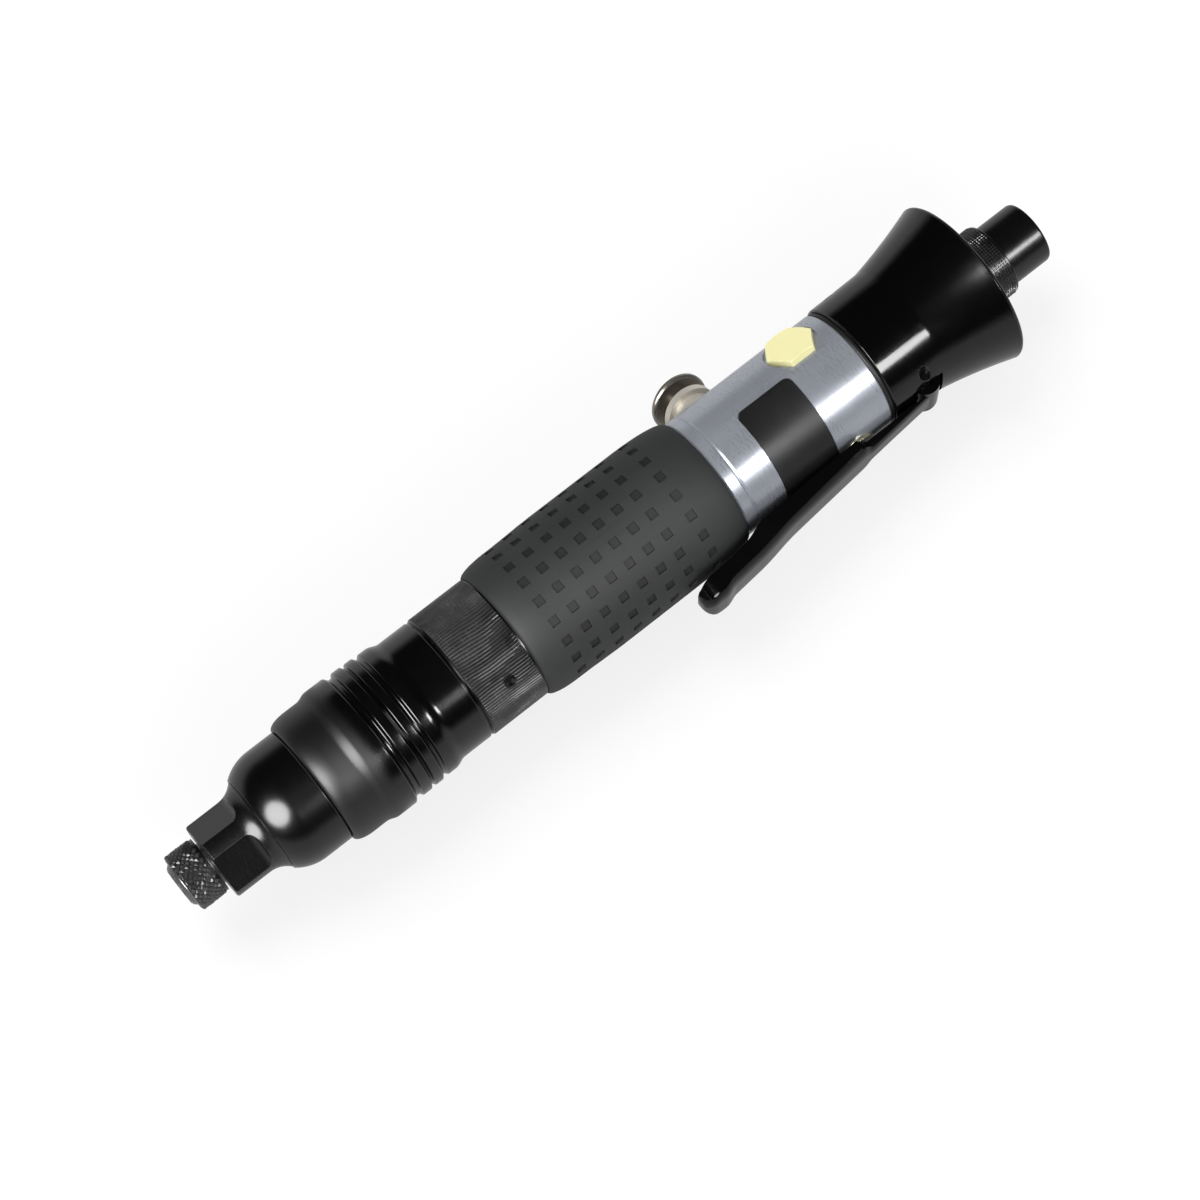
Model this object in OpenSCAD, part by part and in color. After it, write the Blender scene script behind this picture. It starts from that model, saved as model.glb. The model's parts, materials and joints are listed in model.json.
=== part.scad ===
// Air torque screwdriver with a lever start and a shut-off clutch.
// The axis is X: the bit mouth is at the origin and the tool runs towards +X.
// Z is up and the lever is on the -Y side. Angles round the axis are measured
// from +Z towards +Y. Lengths are in millimetres.

/* [Body] */
// Radius of the motor housing; the other outer radii follow it
motor_r = 16.8; // [16.6:0.05:17.1]

/* [Chuck] */
// Hex socket, across flats
bit_af = 6.45; // [6.38:0.01:6.6]
// Depth of the hex socket
bit_depth = 18; // [14:1:24]
// Radius of the bit holder's front shank
holder_r = 4.7; // [4.5:0.05:4.9]
// Radius of the bit holder's journal
journal_r = 5.5; // [5.2:0.1:5.8]
// Radius of the knurled chuck sleeve
sleeve_r = 7.8; // [7.4:0.1:8.4]
// Length of the chuck sleeve
sleeve_len = 7.8; // [7.4:0.1:8.2]
// Travel of the sleeve when it is pulled forward
sleeve_travel = 2.2; // [1.8:0.1:2.3]
// Radius of the chuck's locking balls
lock_ball_r = 1.2; // [1:0.05:1.25]

/* [Nose] */
// Length of the nose housing in front of the torque ring
nose_len = 14.3; // [13:0.1:18]
// Radius over the nose's turned corners
nose_r = 10.2; // [9.8:0.1:10.8]
// Nose flats, across flats
nose_af = 17.2; // [16.8:0.1:18]
// Radius where the nose meets the torque ring
nose_flare_r = 12.4; // [12:0.1:13]
// Outer radius of the tube that carries the torque ring
tube_r = 11; // [10.8:0.1:11.4]
// Wall of that tube
tube_wall = 1.4; // [1.2:0.1:1.6]

/* [Torque ring] */
// Length of the torque ring
ring_len = 15.5; // [14.5:0.5:20]
// Radius of the torque ring
ring_r = 15.6; // [15.2:0.1:16]
// Axial travel of the adjusting nut
nut_travel = 6.5; // [4:0.5:7]
// Wire radius of the clutch spring
spring_wire = 0.9; // [0.8:0.05:1]

/* [Clutch housing] */
// Length of the clutch housing's visible part
clutch_len = 40.6; // [40:0.2:46]
// Step from the motor housing up to the clutch housing's front shoulder
shoulder_step = 0.8; // [0.5:0.1:1.2]
// Step from that shoulder up to the front bulge
bulge_step = 0.8; // [0.4:0.1:1.2]
// Wall of the clutch housing's spigot
clutch_wall = 1.35; // [1.2:0.05:1.5]
// Axial lift of the clutch cam when it slips
cam_lift = 1.2; // [0.8:0.1:1.3]
// Radius of the clutch balls
clutch_ball_r = 2; // [1.8:0.1:2.1]

/* [Gears] */
// Gear module
gear_m = 0.6; // [0.58:0.01:0.61]
// Width of the planet gears
gear_w = 10; // [8:0.5:11]

/* [Collar] */
// Length of the knurled lock collar
collar_len = 16.4; // [15.5:0.1:18]
// Step from the motor housing up to the lock collar
collar_step = 0.25; // [0.15:0.05:0.5]
// Radius of the spanner hole in the collar
spanner_r = 1.55; // [1.2:0.05:2]

/* [Grip] */
// Length of the rubber grip
grip_len = 61.8; // [58:0.2:66]
// Step from the motor housing up to the grip's ends
grip_step = 0.4; // [0.2:0.05:0.7]
// Rise from the grip's ends to its middle
grip_rise = 1.85; // [1.4:0.05:2.2]
// Width of one grip pocket
pocket_w = 2.4; // [1.8:0.1:3]
// Depth of the grip pockets
pocket_depth = 0.45; // [0.2:0.05:0.6]
// Pockets along the grip
pocket_cols = 8; // [6:1:9]
// Pockets round the grip
pocket_rows = 20; // [16:1:22]

/* [Motor housing] */
// Length of the bare part of the motor housing
motor_len = 45.3; // [44:0.1:50]
// Wall of the motor housing under the grip
barrel_wall = 1.4; // [1.2:0.1:1.5]
// Eccentricity of the liner's bore
liner_offset = 1.1; // [0.9:0.05:1.15]
// Thinnest wall of the liner
liner_wall = 0.9; // [0.8:0.05:1.1]
// Thickness of a rotor vane
vane_t = 1.5; // [1.2:0.1:1.7]
// Number of rotor vanes
vane_count = 5; // [4:1:6]

/* [Valves] */
// Radius of the reverse button's head
button_r = 7.8; // [7:0.1:8.4]
// Thickness of the reverse button's head
button_t = 1.9; // [1.5:0.1:2.4]
// Inward travel of the reverse button
button_travel = 3.2; // [2.5:0.1:3.3]
// Hex plug, across flats
plug_af = 12; // [11:0.5:13]
// Radius of the throttle pin
throttle_r = 1.6; // [1.3:0.1:1.8]

/* [Lever] */
// Half width of the lever's channel
lever_half = 7; // [6.4:0.1:7.4]
// Half width of the lever's neck
neck_half = 4.3; // [3.8:0.1:4.6]
// Wall of the lever
lever_wall = 1.6; // [1.3:0.1:1.8]
// Length of the lever from its pivot to its tip
lever_len = 77.2; // [72:0.2:80]
// Height of the lever's outer face over the grip at its tip
lever_rise = 6.7; // [6:0.1:7.4]
// Swing of the lever in degrees
lever_swing = 2; // [1.6:0.1:2]
// Radius of the lever's pivot pin
pivot_r = 1.5; // [1.3:0.1:1.7]

/* [Tail] */
// Length of the tail cap
cap_len = 36.1; // [34:0.1:40]
// Step from the motor housing up to the cap's front end
cap_step = 0.45; // [0.3:0.05:0.7]
// Flare from the cap's front end out to its rim
rim_flare = 5.45; // [4.5:0.05:6.5]
// Wall of the flare
cap_wall = 1.9; // [1.5:0.1:2.3]
// Radius of the knurled inlet ring
inlet_ring_r = 9.95; // [9.4:0.05:10.1]
// Length of the knurled inlet ring
inlet_ring_len = 9.8; // [8:0.1:11]
// Outer radius of the air inlet
inlet_r = 8.4; // [8:0.1:8.8]
// Length of the inlet behind the ring
inlet_len = 11.7; // [10:0.1:16]
// Radius of the inlet's threaded bore
inlet_bore = 5.7; // [5.4:0.1:6.2]

/* [Hidden] */
$fn = 72;
soft_fn = 32;
eps = 0.05;
// Running clearance on a radius, and a free gap
fit = 0.05;
gap = 0.3;

// Radii that follow the motor housing
shoulder_r = motor_r + shoulder_step;
bulge_r = shoulder_r + bulge_step;
clutch_r = motor_r + 0.05;
collar_r = motor_r + collar_step;
grip_end_r = motor_r + grip_step;
grip_r = grip_end_r + grip_rise;
cap_r = motor_r + cap_step;
rim_r = cap_r + rim_flare;

// Stations along the axis
x_sleeve = 1.1;
x_sleeve_end = x_sleeve + sleeve_len;
x_nose = x_sleeve_end + 0.6;
x_ring = x_nose + nose_len;
x_clutch = x_ring + ring_len;
x_collar = x_clutch + clutch_len;
x_grip = x_collar + 0.7 + collar_len;
x_motor = x_grip + grip_len;
x_seal = x_motor + motor_len;
seal_t = 1.2;
x_cap = x_seal + seal_t;
x_rim = x_cap + cap_len;
x_inlet_ring = x_rim - 0.4;
x_inlet = x_inlet_ring + inlet_ring_len;
x_end = x_inlet + inlet_len;

// Chuck: the cap, the sleeve's land and the holder's flange
cap_front = 0.15;
cap_end = 1.4;
chuck_bore = holder_r + 1.45;
x_ball = 6.6;
land_front = x_ball - 1.1;
land_end = x_ball + lock_ball_r;
flange_r = chuck_bore - 0.4;
flange_front = land_end + 0.05;
flange_end = x_nose - gap;
ball_orbit = holder_r + fit - lock_ball_r - 0.02;
chuck_wire = 0.22;

// Nose
lip_r = journal_r + 0.2;
bush_r = nose_af / 2 - 1.3;
x_bush = x_nose + 1;
x_bush_end = x_ring - 3.3;
chamber_r = tube_r - tube_wall;
x_chamber = x_ring + 1.2;
x_tube_end = x_clutch + clutch_len * 0.19;
flare_run = 4.9;
flats_end = x_ring - 5.2;
cutter_r = 2.4;

// Torque ring and adjusting nut
ring_bore = tube_r + fit * 2;
ring_gap = 0.15;
recess_r = ring_r - 1.7;
dome_arc = 12.1;
x_slot = x_ring + 3;
nut_t = 3;
slot_w = 3.2;
x_nut = x_slot + 0.2;
nut_r = chamber_r - gap;
nut_bore = journal_r + 0.4;
peg_reach = recess_r - gap;
peg_count = 3;

// Clutch: washer, cam, balls and carrier
collar_thread_r = collar_r - 1.5;
clutch_bore = collar_thread_r - clutch_wall;
x_cam_face = x_clutch + clutch_len * 0.372;
cam_t = 4;
cam_r = clutch_bore - 1.6;
cam_boss_r = journal_r + 1.5;
cam_boss_len = 2.4;
x_cam = x_cam_face - cam_t;
x_key = x_cam - 1.4 - cam_lift;
x_washer = x_cam - 1.6;
x_carrier = x_cam_face + 1.6;
clutch_ball_orbit = cam_r - 3.2;
clutch_ball_count = 6;
x_ball_centre = (x_cam_face + x_carrier) / 2;
key_af = journal_r * 2 - 1.4;
pilot_r = 4;
x_pilot_end = x_carrier + 1;
spring_r = (chamber_r + cam_boss_r) / 2 - 0.1;
spring_turns = 5;

// Planetary gears: the ring gear is fixed, the carrier drives the bit holder
sun_teeth = 12;
planet_teeth = 12;
ring_teeth = sun_teeth + 2 * planet_teeth;
planet_count = 3;
planet_orbit = gear_m * (sun_teeth + planet_teeth) / 2;
addendum = 0.9 * gear_m;
ring_addendum = 0.58 * gear_m;
dedendum = 1.2 * gear_m;
backlash = 0.04;
pressure_angle = 20;
carrier_t = 6;
carrier_r = clutch_bore - 1.6;
x_gears = x_carrier + carrier_t + 1;
x_gears_end = x_gears + gear_w;
x_ring_gear = x_carrier + carrier_t + 0.4;
x_ring_gear_end = x_gears_end + 3;
pin_r = 1.5;

// Lock collar: the clutch housing's spigot meets the barrel under it
x_collar_front = x_collar + 0.7;
x_spigot_end = x_collar_front + 7.4;
x_barrel = x_spigot_end + 0.2;
x_spanner = x_collar_front + 8.9;
spanner_angle = -48;

// Motor: end plates, liner, rotor, bearings
barrel_r = grip_end_r - 2.2;
barrel_bore = barrel_r - barrel_wall;
x_plate = x_barrel + 0.4;
bearing_w = motor_r * 0.3;
plate_t = bearing_w + 3;
x_liner = x_plate + plate_t;
x_motor_end = x_motor - 4.6;
x_rear_plate = x_motor_end - bearing_w - 2;
rotor_r = barrel_bore - liner_wall - 2 * liner_offset - 0.15;
liner_bore = rotor_r + liner_offset + 0.15;
front_shaft_r = 4.45;
rear_shaft_r = 3.95;
bearing_wall = 3.5;
rotor_gap = 0.2;
slot_root = 5.6;
rod_r = 1.2;
rod_hole_r = 1.5;
x_pinion_end = x_ring_gear_end + 3;

// Shut-off valve at the rod's rear end
x_valve = x_motor_end + 1.8;
valve_t = 1.8;
valve_r = 4.2;
valve_chamber_r = 5;
x_valve_end = x_motor_end + 9.6;
channel_r = 2.6;

// Reverse valve
button_angle = 120;
x_button = x_motor + 11.7;
spool_r = 4.25;
bush_wall_r = 5.8;
bush_flange_r = button_r - 0.7;
bush_flange_t = 2;
bush_top = motor_r + 6.5;
button_under = bush_top + button_travel + 0.4;
spool_bottom = -5.5;
bush_bottom = spool_bottom - button_travel - 0.8;

// Hex plug and throttle valve share one station
x_throttle = x_seal - 10.6;
plug_angle = 37;
plug_top = motor_r + 0.8;
plug_seat = motor_r - 1.2;
plug_r = 4.5;
plug_depth = 3.8;
spot_r = plug_af * 0.6;
lever_angle = -90;
throttle_bush_r = 4;
throttle_flange_r = 4.7;
throttle_flange_t = 0.8;
throttle_top = motor_r + 0.3;
throttle_seat = throttle_top - 5.6;
throttle_well = channel_r - 0.1;
throttle_head_r = 3;
throttle_head_t = 1.2;
throttle_stroke = 0.95;

// Lever: a pressed channel on a pivot in the cap
pivot_d = cap_r - 2.25;
x_pivot = x_cap + cap_len * 0.277;
lug_r = 4;
lug_half = 5.6;
lug_gap = 0.8;
x_tip = x_pivot - lever_len;
neck_outer = cap_r + 1.8;
neck_inner = cap_r + 0.8;
lever_slope = (grip_r + lever_rise - neck_outer) / (lever_len - 8);
edge_clear = 0.3;
tip_r = 3.2;
tip_rise = 0.55;
tip_nose = 5;
dip_from = 5.5;
dip_to = 9.5;
x_shoulder = x_throttle - 1.5;
x_swell = x_tip + 31;
swell_run = 13;
swell = 0.8;

// Tail cap
spigot_r = 11.8;
x_spigot = x_cap + 4.1;
socket_r = 6.5;
x_socket = x_throttle + 5.5;
cap_throat = 9.4;
x_flare = x_cap + cap_len * 0.4155;
flare_bow = 0.9;
lip = 0.9;
x_cavity = x_flare + 2.2;
exhaust_orbit = 8.5;
exhaust_r = 1.4;
exhaust_angles = [30, -155];
stem_r = 7.6;
stem_collar_r = 9.2;
x_exhaust_plate = x_rim - cap_len * 0.233;
exhaust_plate_t = 1.6;
x_silencer = x_cavity + 3;
drill_r = 4.6;
ring_seat_r = inlet_r - 0.2;
x_thread = x_end - 15;
strainer_depth = 8;
screw_angle = 75;
x_screw = x_cap + 5.8;
screw_foot = cap_r - 4.65;

// ---- Shared shapes ----

// Turns an outline of [radius, station] points round the axis
module turned(outline) {
    rotate([0, 90, 0]) rotate_extrude() polygon(outline);
}

// A cylinder along the axis from station a to station b
module shaft(r, a, b) {
    translate([a, 0, 0]) rotate([0, 90, 0]) cylinder(r = r, h = b - a);
}

// A tube along the axis
module sleeve(r_out, r_in, a, b) {
    difference() {
        shaft(r_out, a, b);
        shaft(r_in, a - 1, b + 1);
    }
}

// Turns the children's +Z to point outwards at an angle round the axis
module outward(x, angle) {
    translate([x, 0, 0]) rotate([-angle, 0, 0]) children();
}

// A cylinder that stands outwards between two distances from the axis
module stud(x, angle, r, low, high) {
    outward(x, angle) translate([0, 0, low]) cylinder(r = r, h = high - low);
}

// Copies of the children spaced round the axis
module round_axis(count, start = 0) {
    for (i = [0 : count - 1]) rotate([start + i * 360 / count, 0, 0]) children();
}

// An S-shaped blend from one [radius, station] point to another
function s_curve(a, b, steps = 6) = [
    for (i = [0 : steps])
        let (t = i / steps)
        [a[0] + (b[0] - a[0]) * (1 - cos(180 * t)) / 2, a[1] + (b[1] - a[1]) * t]
];

// A blend that starts steep and ends level
function ease_out(a, b, steps = 8) = [
    for (i = [0 : steps])
        let (t = i / steps)
        [a[0] + (b[0] - a[0]) * sin(90 * t), a[1] + (b[1] - a[1]) * (1 - cos(90 * t))]
];

// A closed helical wire along the axis with flat-cut ends
function wire_ring(r, wire, angle, x, sides) = [
    for (k = [0 : sides - 1])
        let (w = 360 * k / sides, reach = r + wire * cos(w))
        [x + wire * sin(w), reach * sin(angle), reach * cos(angle)]
];

module coil(r, wire, a, b, turns, per_turn = 16, sides = 6) {
    steps = ceil(turns * per_turn);
    rise = b - a - 2 * wire;
    points = [
        for (i = [0 : steps])
            each wire_ring(r, wire, 360 * turns * i / steps, a + wire + rise * i / steps, sides)
    ];
    walls = [
        for (i = [0 : steps - 1], k = [0 : sides - 1])
            let (n = (k + 1) % sides)
            [i * sides + k, i * sides + n, (i + 1) * sides + n, (i + 1) * sides + k]
    ];
    first = [for (k = [sides - 1 : -1 : 0]) k];
    last = [for (k = [0 : sides - 1]) steps * sides + k];
    polyhedron(points = points, faces = concat([first], walls, [last]), convexity = 10);
}

// Involute tooth flanks
function involute_angle(base, r) =
    let (a = acos(min(1, base / r)))
    tan(a) * 180 / PI - a;

function half_tooth(pitch, base, r, slack) =
    45 * gear_m / pitch - slack * 180 / PI / (2 * pitch)
    + involute_angle(base, pitch) - involute_angle(base, max(base, r));

function polar(r, a) = [r * cos(a), r * sin(a)];

// Outline of a spur gear, with a tooth centred on angle 0; tip and root are radii
function gear_outline(teeth, tip, root, slack, steps = 4) =
    let (pitch = gear_m * teeth / 2, base = pitch * cos(pressure_angle), low = max(root, base))
    [
        for (i = [0 : teeth - 1])
            let (c = 360 * i / teeth)
            each concat(
                [polar(root, c - half_tooth(pitch, base, low, slack))],
                [
                    for (k = [0 : steps])
                        let (r = low + (tip - low) * k / steps)
                        polar(r, c - half_tooth(pitch, base, r, slack))
                ],
                [
                    for (k = [steps : -1 : 0])
                        let (r = low + (tip - low) * k / steps)
                        polar(r, c + half_tooth(pitch, base, r, slack))
                ],
                [polar(root, c + half_tooth(pitch, base, low, slack))]
            )
    ];

// A spur gear along the axis; the tooth on angle 0 points to +Z before it is turned
module spur_gear(teeth, a, b, turn = 0) {
    pitch = gear_m * teeth / 2;
    translate([a, 0, 0]) rotate([0, 90, 0]) rotate([0, 0, 180 + turn])
        linear_extrude(height = b - a)
            polygon(gear_outline(teeth, pitch + addendum, pitch - dedendum, backlash));
}

module ball_bearing(bore, a) {
    turned([
        [bore, a], [bore + 1, a], [bore + 1.2, a + 0.3], [bore + bearing_wall - 1.2, a + 0.3],
        [bore + bearing_wall - 1, a], [bore + bearing_wall, a],
        [bore + bearing_wall, a + bearing_w], [bore, a + bearing_w]
    ]);
}

// ---- Chuck ----

module bit_holder() {
    color("dimgray") difference() {
        union() {
            shaft(holder_r, 0, flange_front + 1);
            shaft(flange_r, flange_front, flange_end);
            shaft(journal_r, flange_end - 0.5, x_key);
            intersection() {
                shaft(journal_r, x_key - 1, x_cam_face + 0.9);
                translate([x_key - 1, -journal_r, -key_af / 2])
                    cube([x_carrier - x_key, 2 * journal_r, key_af]);
            }
            shaft(pilot_r, x_cam_face, x_pilot_end);
        }
        translate([-eps, 0, 0]) rotate([0, 90, 0])
            cylinder(r = bit_af / 2 / cos(30), h = bit_depth + eps, $fn = 6);
        for (side = [-90, 90])
            stud(x_ball, side, lock_ball_r + 0.08, bit_af / 2 - 0.5, holder_r + 1);
    }
}

module retaining_cap() {
    color("dimgray") turned([
        [holder_r, cap_front], [holder_r + 0.4, cap_front], [flange_r + 0.15, cap_end - 0.4],
        [flange_r + 0.15, cap_end], [holder_r, cap_end]
    ]);
}

module chuck_spring() {
    color("silver")
        coil(holder_r + 0.7, chuck_wire, cap_end + 0.02, land_front - 0.02, 3.5, 14);
}

module chuck_sleeve() {
    color("black") turned([
        [chuck_bore, x_sleeve], [sleeve_r - 0.8, x_sleeve], [sleeve_r, x_sleeve + 0.9],
        [sleeve_r, x_sleeve_end - 0.3], [sleeve_r - 0.3, x_sleeve_end],
        [chuck_bore, x_sleeve_end], [chuck_bore, land_end], [holder_r + fit, land_end],
        [holder_r + fit, land_front], [chuck_bore, land_front]
    ]);
}

module chuck_balls() {
    color("silver") for (side = [-90, 90])
        outward(x_ball, side) translate([0, 0, ball_orbit]) sphere(r = lock_ball_r);
}

// ---- Nose, torque ring and clutch ----

// One flat with the rounded end that the cutter leaves
module nose_flat() {
    reach = nose_flare_r + 2;
    outward(0, 0) translate([x_nose - 1, -reach, nose_af / 2])
        cube([flats_end - x_nose + 1, 2 * reach, reach]);
    translate([flats_end, reach, nose_af / 2 + cutter_r]) rotate([90, 0, 0])
        cylinder(r = cutter_r, h = 2 * reach);
}

module nose_housing() {
    sweep = flare_run;
    rise = nose_flare_r - nose_r;
    arc = (sweep * sweep + rise * rise) / (2 * rise);
    flare = [
        for (i = [0 : 10])
            let (t = sweep * i / 10)
            [nose_r + arc - sqrt(arc * arc - t * t), x_ring - sweep + t]
    ];
    color("black") difference() {
        turned(concat(
            [[lip_r, x_nose], [nose_r - 0.4, x_nose], [nose_r, x_nose + 0.4]],
            flare,
            [
                [tube_r, x_ring], [tube_r, x_tube_end], [chamber_r, x_tube_end],
                [chamber_r, x_chamber], [lip_r, x_chamber]
            ]
        ));
        shaft(bush_r, x_bush, x_bush_end);
        round_axis(4, 46.5) nose_flat();
        round_axis(peg_count) translate([x_slot, -slot_w / 2, chamber_r - 1])
            cube([nut_t + nut_travel + 0.4, slot_w, tube_wall + 2]);
    }
}

module nose_bush() {
    color("peru") sleeve(bush_r, journal_r + fit, x_bush, x_bush_end);
}

module torque_ring() {
    front = x_ring + ring_gap;
    back = x_clutch - ring_gap;
    dome_run = min(8.2, ring_len / 2);
    dome = [
        for (i = [0 : 10])
            let (t = (dome_run - ring_gap) * (1 - i / 10))
            [ring_r - dome_arc + sqrt(dome_arc * dome_arc - t * t), x_ring + dome_run - t]
    ];
    color("black") turned(concat(
        [[ring_bore, front]],
        dome,
        [
            [ring_r, back - 0.3], [ring_r - 0.3, back], [ring_bore, back],
            [ring_bore, back - 1.2], [recess_r, back - 1.2], [recess_r, x_slot + 3],
            [ring_bore + 0.9, x_slot], [ring_bore, x_slot]
        ]
    ));
}

module adjusting_nut() {
    peg = slot_w - 0.4;
    color("silver") difference() {
        union() {
            shaft(nut_r, x_nut, x_nut + nut_t);
            round_axis(peg_count) translate([x_nut, -peg / 2, nut_r - 1])
                cube([nut_t, peg, chamber_r + tube_wall + 0.5 - nut_r + 1]);
        }
        shaft(nut_bore, x_nut - 1, x_nut + nut_t + 1);
    }
}

module clutch_spring() {
    color("silver")
        coil(spring_r, spring_wire, x_nut + nut_t + 0.02, x_washer - 0.02, spring_turns, 20, 8);
}

module thrust_washer() {
    color("silver") sleeve(cam_r - 1.4, cam_boss_r + fit * 2, x_washer, x_cam - 0.1);
}

module clutch_ball_set(r) {
    round_axis(clutch_ball_count) translate([x_ball_centre, 0, clutch_ball_orbit]) sphere(r = r);
}

module clutch_cam() {
    color("gray") difference() {
        union() {
            shaft(cam_r, x_cam, x_cam_face);
            shaft(cam_boss_r, x_cam - cam_boss_len, x_cam + 1);
        }
        shaft(journal_r + fit, x_cam - cam_boss_len - 1, x_key + cam_lift + 0.1);
        intersection() {
            shaft(journal_r + fit, x_cam - 2, x_cam_face + 1);
            translate([x_cam - 2, -cam_r, -key_af / 2 - fit]) cube([10, 2 * cam_r, key_af + 2 * fit]);
        }
        clutch_ball_set(clutch_ball_r + fit);
    }
}

module clutch_balls() {
    color("silver") clutch_ball_set(clutch_ball_r);
}

module planet_carrier() {
    color("gray") difference() {
        shaft(carrier_r, x_carrier, x_carrier + carrier_t);
        shaft(pilot_r, x_carrier - 1, x_pilot_end);
        shaft(rod_hole_r, x_carrier, x_carrier + carrier_t + 1);
        clutch_ball_set(clutch_ball_r);
        round_axis(planet_count) translate([0, 0, planet_orbit])
            shaft(pin_r, x_carrier + 3, x_carrier + carrier_t + 1);
    }
}

module planet_pins() {
    color("silver") round_axis(planet_count) translate([0, 0, planet_orbit])
        shaft(pin_r, x_carrier + 3, x_gears_end + 1.8);
}

module planet_gear(i) {
    half_pitch = 180 / planet_teeth;
    color("lightgray") rotate([i * 360 / planet_count, 0, 0])
        translate([0, 0, planet_orbit]) difference() {
            spur_gear(planet_teeth, x_gears, x_gears_end, half_pitch);
            shaft(pin_r + fit, x_gears - 1, x_gears_end + 1);
        }
}

module carrier_ring() {
    inner = gear_m * sun_teeth / 2 + addendum + gap;
    color("gray") difference() {
        sleeve(planet_orbit + pin_r + 1.1, inner, x_gears_end + 0.3, x_gears_end + 2.1);
        round_axis(planet_count) translate([0, 0, planet_orbit])
            shaft(pin_r, x_gears_end, x_gears_end + 1.8);
    }
}

module carrier_bearing() {
    color("silver") sleeve(clutch_bore, carrier_r + fit, x_carrier + 0.6, x_carrier + carrier_t - 0.4);
}

module ring_gear() {
    pitch = gear_m * ring_teeth / 2;
    space = gear_outline(ring_teeth, pitch + dedendum, pitch - ring_addendum, -backlash);
    color("gray") difference() {
        shaft(clutch_bore, x_ring_gear, x_ring_gear_end);
        translate([x_ring_gear - 1, 0, 0]) rotate([0, 90, 0]) rotate([0, 0, 180 + 180 / ring_teeth])
            linear_extrude(height = x_ring_gear_end - x_ring_gear + 2) polygon(space);
    }
}

// Ribs as [start after the housing's front, length of the crest, crest radius]
ribs = [[19.5, 2, bulge_r - 0.3], [23.3, 1.7, bulge_r - 0.4], [27.2, 2, bulge_r - 0.6]];
groove_r = shoulder_r - 0.4;

module clutch_housing() {
    slope = 1;
    bulge_end = x_clutch + 16.6;
    valley = [for (i = [0 : 2]) (i == 0 ? groove_r : groove_r - 0.05 + 0.05 * i - 0.1 * i)];
    rib_points = [
        for (i = [0 : len(ribs) - 1])
            let (start = x_clutch + ribs[i][0], crest = ribs[i][2])
            each concat(
                s_curve([valley[i], start - slope], [crest, start]),
                s_curve([crest, start + ribs[i][1]],
                    i < 2 ? [valley[i + 1], start + ribs[i][1] + slope]
                          : [clutch_r, start + ribs[i][1] + 3.4])
            )
    ];
    color("black") difference() {
        turned(concat(
            [[tube_r, x_clutch]],
            ease_out([shoulder_r - 1.6, x_clutch], [shoulder_r, x_clutch + 4.7]),
            s_curve([shoulder_r, x_clutch + 8.6], [bulge_r, x_clutch + 11.7]),
            s_curve([bulge_r, bulge_end], [groove_r, bulge_end + 1.4]),
            rib_points,
            [
                [clutch_r, x_collar - 0.2], [clutch_r - 0.2, x_collar],
                [collar_thread_r, x_collar], [collar_thread_r, x_spigot_end],
                [clutch_bore, x_spigot_end], [clutch_bore, x_tube_end], [tube_r, x_tube_end]
            ]
        ));
    }
}

module lock_collar() {
    back = x_grip;
    color([0.12, 0.12, 0.13]) difference() {
        turned([
            [collar_thread_r, x_collar_front], [collar_r - 0.3, x_collar_front],
            [collar_r, x_collar_front + 0.3], [collar_r, back - 0.3], [collar_r - 0.3, back],
            [collar_thread_r, back]
        ]);
        stud(x_spanner, spanner_angle, spanner_r, collar_thread_r - 1, collar_r + 1);
    }
}

// ---- Motor ----

module front_end_plate() {
    seat = front_shaft_r + fit + bearing_wall;
    color("gray") difference() {
        shaft(barrel_bore, x_plate, x_liner);
        shaft(seat, x_plate - 1, x_liner - 1.5);
        shaft(front_shaft_r + 0.6, x_plate - 1, x_liner + 1);
    }
}

module front_bearing() {
    color("silver") ball_bearing(front_shaft_r + fit, x_liner - bearing_w - 1.5);
}

module cylinder_liner() {
    color("gray") difference() {
        shaft(barrel_bore, x_liner, x_rear_plate);
        translate([0, liner_offset, 0]) shaft(liner_bore, x_liner - 1, x_rear_plate + 1);
    }
}

module vane_slots(width, root) {
    round_axis(vane_count) translate([x_liner, -width / 2, root])
        cube([x_rear_plate - x_liner, width, rotor_r - root + 1]);
}

module rotor() {
    color("silver") difference() {
        union() {
            shaft(rotor_r, x_liner + rotor_gap, x_rear_plate - rotor_gap);
            shaft(front_shaft_r, x_pinion_end, x_liner + 1);
            shaft(rear_shaft_r, x_rear_plate - 1, x_motor_end - 0.6);
            spur_gear(sun_teeth, x_ring_gear + 0.2, x_pinion_end + 0.5);
        }
        vane_slots(vane_t + 0.1, slot_root);
        shaft(rod_hole_r, x_ring_gear - 1, x_motor_end);
    }
}

module rotor_vanes() {
    color("saddlebrown") round_axis(vane_count)
        translate([x_liner + rotor_gap + 0.1, -vane_t / 2, slot_root + 0.05])
            cube([x_rear_plate - x_liner - 2 * rotor_gap - 0.2, vane_t, rotor_r - slot_root - 0.25]);
}

module rear_end_plate() {
    color("gray") difference() {
        shaft(barrel_bore, x_rear_plate, x_motor_end);
        shaft(rear_shaft_r + fit + bearing_wall, x_rear_plate + 1.5, x_motor_end + 1);
        shaft(rear_shaft_r + 0.6, x_rear_plate - 1, x_motor_end + 1);
    }
}

module rear_bearing() {
    color("silver") ball_bearing(rear_shaft_r + fit, x_rear_plate + 1.5);
}

module shutoff_rod() {
    color("silver") {
        shaft(rod_r, x_pilot_end + cam_lift + 0.4, x_valve + 1);
        shaft(valve_r, x_valve, x_valve + valve_t);
    }
}

module shutoff_spring() {
    color("silver") coil(valve_r - 0.8, 0.3, x_valve + valve_t + 0.02, x_valve_end - 0.02, 4, 12);
}

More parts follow.
